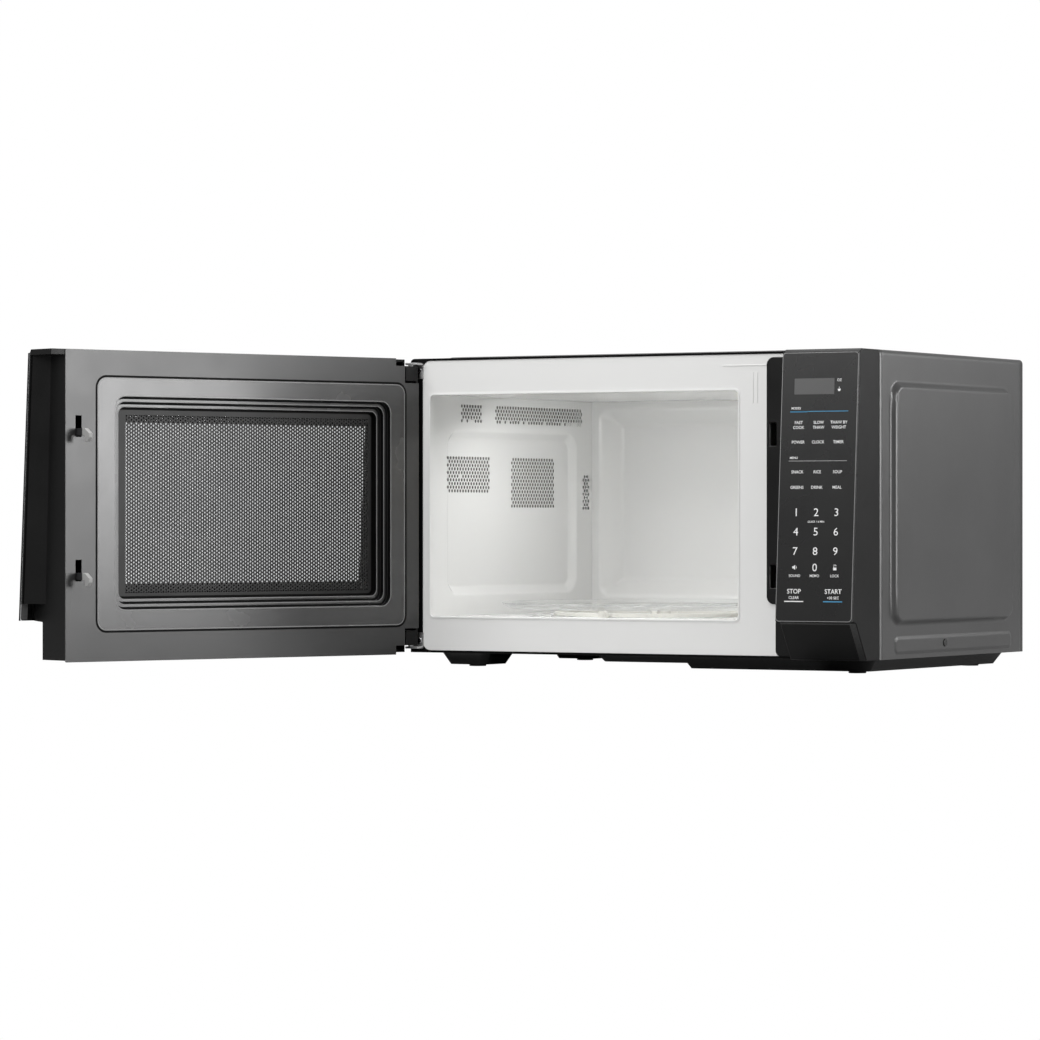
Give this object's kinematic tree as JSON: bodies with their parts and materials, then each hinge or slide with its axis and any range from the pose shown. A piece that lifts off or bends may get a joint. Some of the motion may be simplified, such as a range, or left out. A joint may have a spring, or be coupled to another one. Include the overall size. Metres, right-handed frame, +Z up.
{
  "type": "microwave oven",
  "caption": "Countertop microwave oven with a left-hinged door open at its stop, touch control panel at the right, cavity with turntable and internal drive and cooling parts.",
  "frame": {"origin": "centre of the cabinet's footprint, on the surface the oven stands on", "axes": "+X to the right seen from the front, +Y towards the back, +Z up"},
  "size_m": [0.6763, 0.7244, 0.2921],
  "materials": {
    "cover_black": "satin black paint",
    "base_black": "black paint",
    "cavity_enamel": "light grey enamel",
    "door_grey": "satin dark grey paint",
    "black_plastic": "fine texture",
    "choke_grey": "satin",
    "tinted_glass": "dark tinted, polished",
    "clear_glass": "clear tempered",
    "clear_film": "clear film",
    "zinc_steel": "zinc plated",
    "pin_steel": "polished",
    "core_iron": "varnished laminations",
    "copper": "varnished wire",
    "aluminium": "plain",
    "rubber": "matte",
    "white_plastic": "plain",
    "mica": "mica sheet",
    "board_green": "coated",
    "display_black": "gloss"
  },
  "bodies": {
    "chassis": {"outer_cover": "cover_black", "cover_screws": "pin_steel", "base_plate": "base_black", "feet": "rubber", "front_plate": "cavity_enamel", "rear_plate": "cavity_enamel", "cord_gland": "black_plastic", "cavity_left_wall": "cavity_enamel", "cavity_right_wall": "cavity_enamel", "cavity_roof": "cavity_enamel", "cavity_floor": "cavity_enamel", "waveguide_cover": "mica", "waveguide": "zinc_steel", "magnetron_yoke": "zinc_steel", "magnetron_tube": "copper", "magnetron_fins": "aluminium", "magnetron_filter": "zinc_steel", "transformer_core": "core_iron", "transformer_windings": "copper", "capacitor": "aluminium", "capacitor_clamp": "zinc_steel", "diode": "black_plastic", "fan_shroud": "black_plastic", "fan_motor": "core_iron", "lamp_holder": "white_plastic", "lamp_bulb": "clear_glass", "thermal_cutouts": "zinc_steel", "filter_board": "board_green", "latch_bracket": "white_plastic", "interlock_switches": "black_plastic", "upper_hinge": "zinc_steel", "lower_hinge": "zinc_steel", "hinge_screws": "pin_steel", "control_panel_housing": "black_plastic", "control_panel_glass": "tinted_glass", "display_module": "display_black", "control_board": "board_green", "turntable_motor": "zinc_steel"},
    "door": {"door_frame": "black_plastic", "door_glass": "tinted_glass", "door_inner_panel": "door_grey", "door_choke_cover": "choke_grey", "door_screen": "door_grey", "door_film": "clear_film", "latch_guides": "black_plastic", "latch_spring": "zinc_steel", "spring_seat": "black_plastic"},
    "latch": {"latch_lever": "black_plastic"},
    "fan": {"fan_blade": "black_plastic"},
    "coupler": {"turntable_coupler": "white_plastic"},
    "tray": {"turntable_tray": "clear_glass"},
    "ring": {"roller_ring": "white_plastic"},
    "roller_1": {"roller_1": "white_plastic"},
    "roller_2": {"roller_2": "white_plastic"},
    "roller_3": {"roller_3": "white_plastic"},
    "upper_plunger": {"upper_plunger": "white_plastic"},
    "lower_plunger": {"lower_plunger": "white_plastic"}
  },
  "joints": [
    {"name": "door_hinge", "type": "hinge", "parent": "chassis", "child": "door", "pos_m": [-0.24, -0.16475, 0.15], "axis": [0, 0, 1], "range_deg": [0, 110.3]},
    {"name": "latch_slide", "type": "slide", "parent": "door", "child": "latch", "axis": [0, 0, 1], "range_m": [0, 0.005], "stiffness_N_per_m": 150, "springref_m": -0.006, "deforming": ["latch_spring"]},
    {"name": "fan_spin", "type": "hinge", "parent": "chassis", "child": "fan", "pos_m": [0.183, 0.13925, 0.17], "axis": [0, 1, 0], "continuous": true},
    {"name": "coupler_spin", "type": "hinge", "parent": "chassis", "child": "coupler", "pos_m": [-0.06, 0, 0.05], "axis": [0, 0, 1], "continuous": true},
    {"name": "tray_lift", "type": "slide", "parent": "coupler", "child": "tray", "axis": [0, 0, 1], "range_m": [0, 0.03]},
    {"name": "ring_spin", "type": "hinge", "parent": "chassis", "child": "ring", "pos_m": [-0.06, 0, 0.0487], "axis": [0, 0, 1], "continuous": true},
    {"name": "roller_1_spin", "type": "hinge", "parent": "ring", "child": "roller_1", "pos_m": [0.03916, 0.05725, 0.0487], "axis": [0.866, 0.5, 0], "continuous": true},
    {"name": "roller_2_spin", "type": "hinge", "parent": "ring", "child": "roller_2", "pos_m": [-0.15916, 0.05725, 0.0487], "axis": [-0.866, 0.5, 0], "continuous": true},
    {"name": "roller_3_spin", "type": "hinge", "parent": "ring", "child": "roller_3", "pos_m": [-0.06, -0.1145, 0.0487], "axis": [0, -1, 0], "continuous": true},
    {"name": "upper_plunger_press", "type": "slide", "parent": "chassis", "child": "upper_plunger", "axis": [0, 1, 0], "range_m": [0, 0.002], "stiffness_N_per_m": 150, "springref_m": -0.002},
    {"name": "lower_plunger_press", "type": "slide", "parent": "chassis", "child": "lower_plunger", "axis": [0, 1, 0], "range_m": [0, 0.002], "stiffness_N_per_m": 150, "springref_m": -0.002}
  ],
  "couplings": [
    {"joint": "ring_spin", "follows": "coupler_spin", "ratio": 0.5},
    {"joint": "roller_1_spin", "follows": "coupler_spin", "ratio": -11.927},
    {"joint": "roller_2_spin", "follows": "coupler_spin", "ratio": -11.927},
    {"joint": "roller_3_spin", "follows": "coupler_spin", "ratio": -11.927}
  ]
}
